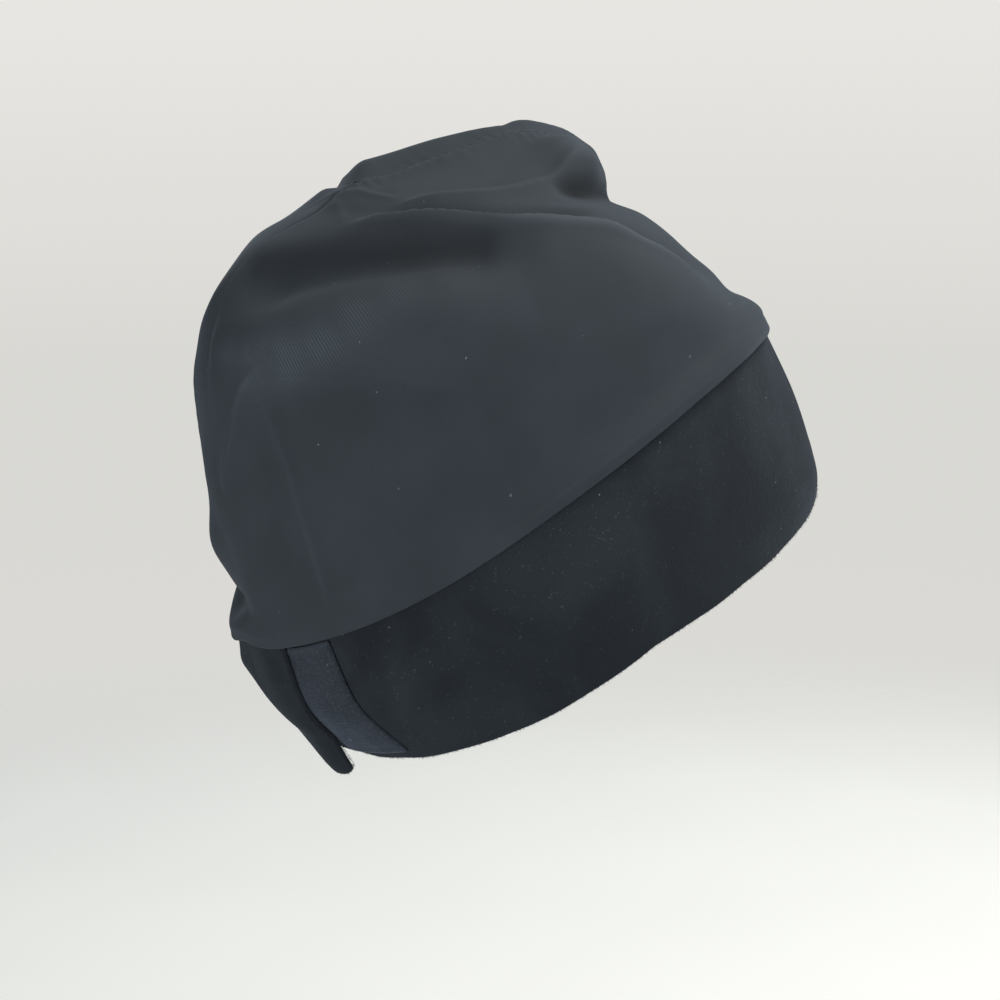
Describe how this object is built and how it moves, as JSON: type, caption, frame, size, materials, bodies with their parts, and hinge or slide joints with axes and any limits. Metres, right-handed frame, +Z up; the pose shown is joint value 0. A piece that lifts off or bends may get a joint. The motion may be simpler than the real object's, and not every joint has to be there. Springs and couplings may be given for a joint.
{
  "type": "wig grip cap",
  "caption": "Soft knit cap worn under a wig, with a wide velvet grip band that slopes from brow to nape and closes at the back with a hook-and-loop fastener.",
  "frame": {"origin": "on the upright middle axis of the head opening, at brow height, where the head that holds the cap up sits", "axes": "+Z up along the head's axis, -Y to the wearer's front, -X to the wearer's right"},
  "size_m": [0.1581, 0.216, 0.2045],
  "materials": {
    "knit": "matte fine stretch knit, black",
    "velvet": "deep black velvet pile",
    "loop_pile": "flat brushed loop pile, black",
    "hook_tape": "dull hook tape, black"
  },
  "bodies": {
    "root": {"crown_right_panel": "knit", "crown_left_panel": "knit", "velvet_band": "velvet", "loop_patch": "loop_pile", "hook_patch": "hook_tape"}
  },
  "joints": []
}
